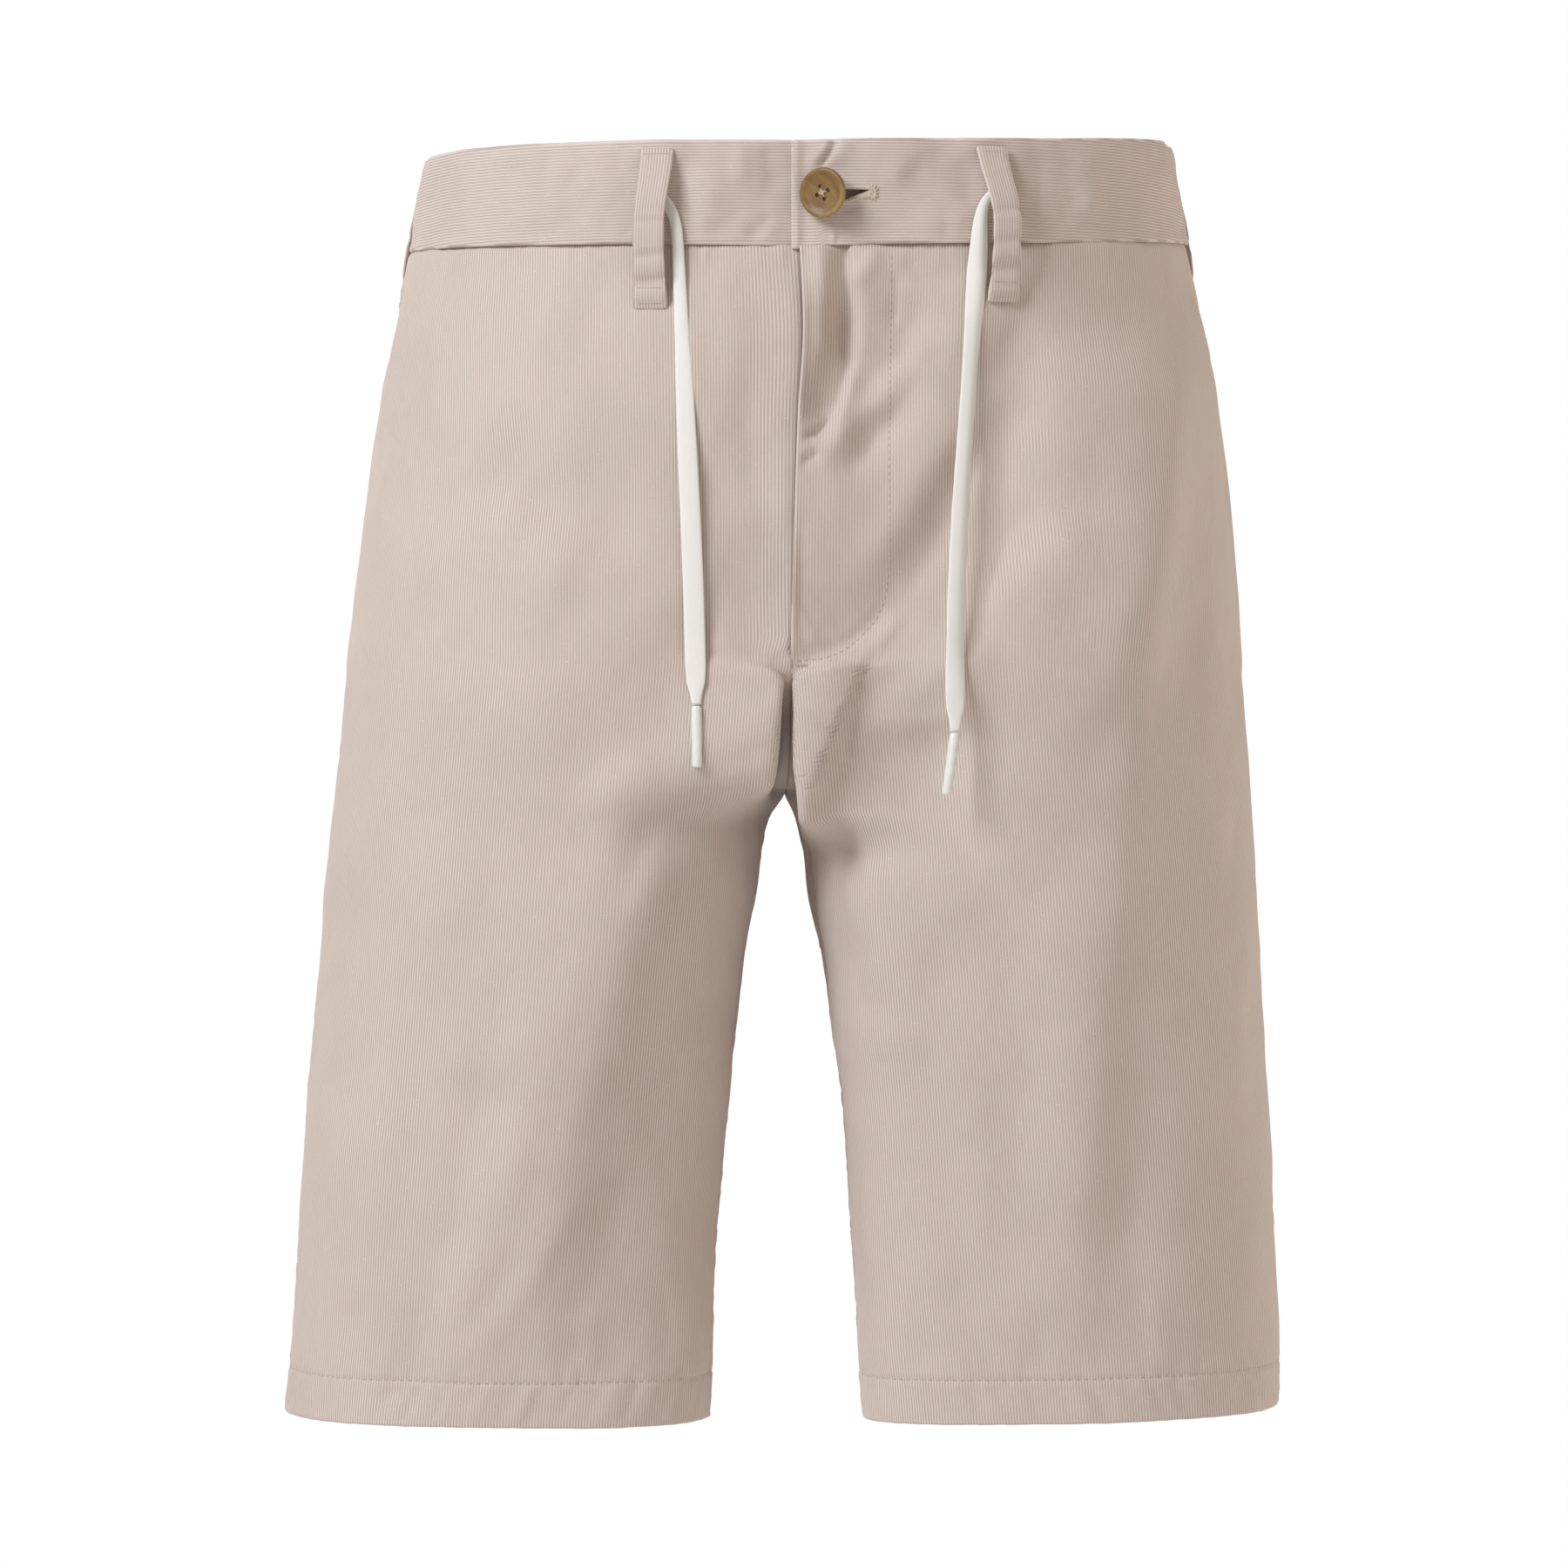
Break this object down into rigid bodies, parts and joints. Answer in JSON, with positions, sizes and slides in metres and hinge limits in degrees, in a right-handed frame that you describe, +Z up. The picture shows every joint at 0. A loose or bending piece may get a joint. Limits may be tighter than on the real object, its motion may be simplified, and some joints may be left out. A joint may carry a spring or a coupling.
{
  "type": "bermuda shorts",
  "caption": "Knee-length bermuda shorts as worn, open at waist and hems, with a buttoned waistband, fly, belt loops, side pocket mouths and a hanging flat drawcord.",
  "frame": {"origin": "middle of the waist, inside the waistband half way up it, where the wearer's waist holds the shorts", "axes": "+Z up, -Y to the wearer's front, +X to the wearer's left"},
  "size_m": [0.4202, 0.2786, 0.537],
  "materials": {
    "striped_cotton": "plain cotton with fine even stripes in pale and deeper beige, upright on the legs, level on the waistband",
    "cord_cotton": "flat woven off-white cotton tape",
    "aglet_film": "clear glossy film wound round the cord's end",
    "button_horn": "polished golden-brown horn look with darker streaks"
  },
  "bodies": {
    "root": {"front_right": "striped_cotton", "front_left": "striped_cotton", "back_right": "striped_cotton", "back_left": "striped_cotton", "fly_shield": "striped_cotton", "waistband_right": "striped_cotton", "waistband_left": "striped_cotton", "belt_loop_front_right": "striped_cotton", "belt_loop_front_left": "striped_cotton", "belt_loop_side_right": "striped_cotton", "belt_loop_side_left": "striped_cotton", "belt_loop_back": "striped_cotton", "button": "button_horn", "drawcord_right": "cord_cotton", "drawcord_left": "cord_cotton", "aglet_right": "aglet_film", "aglet_left": "aglet_film"}
  },
  "joints": []
}
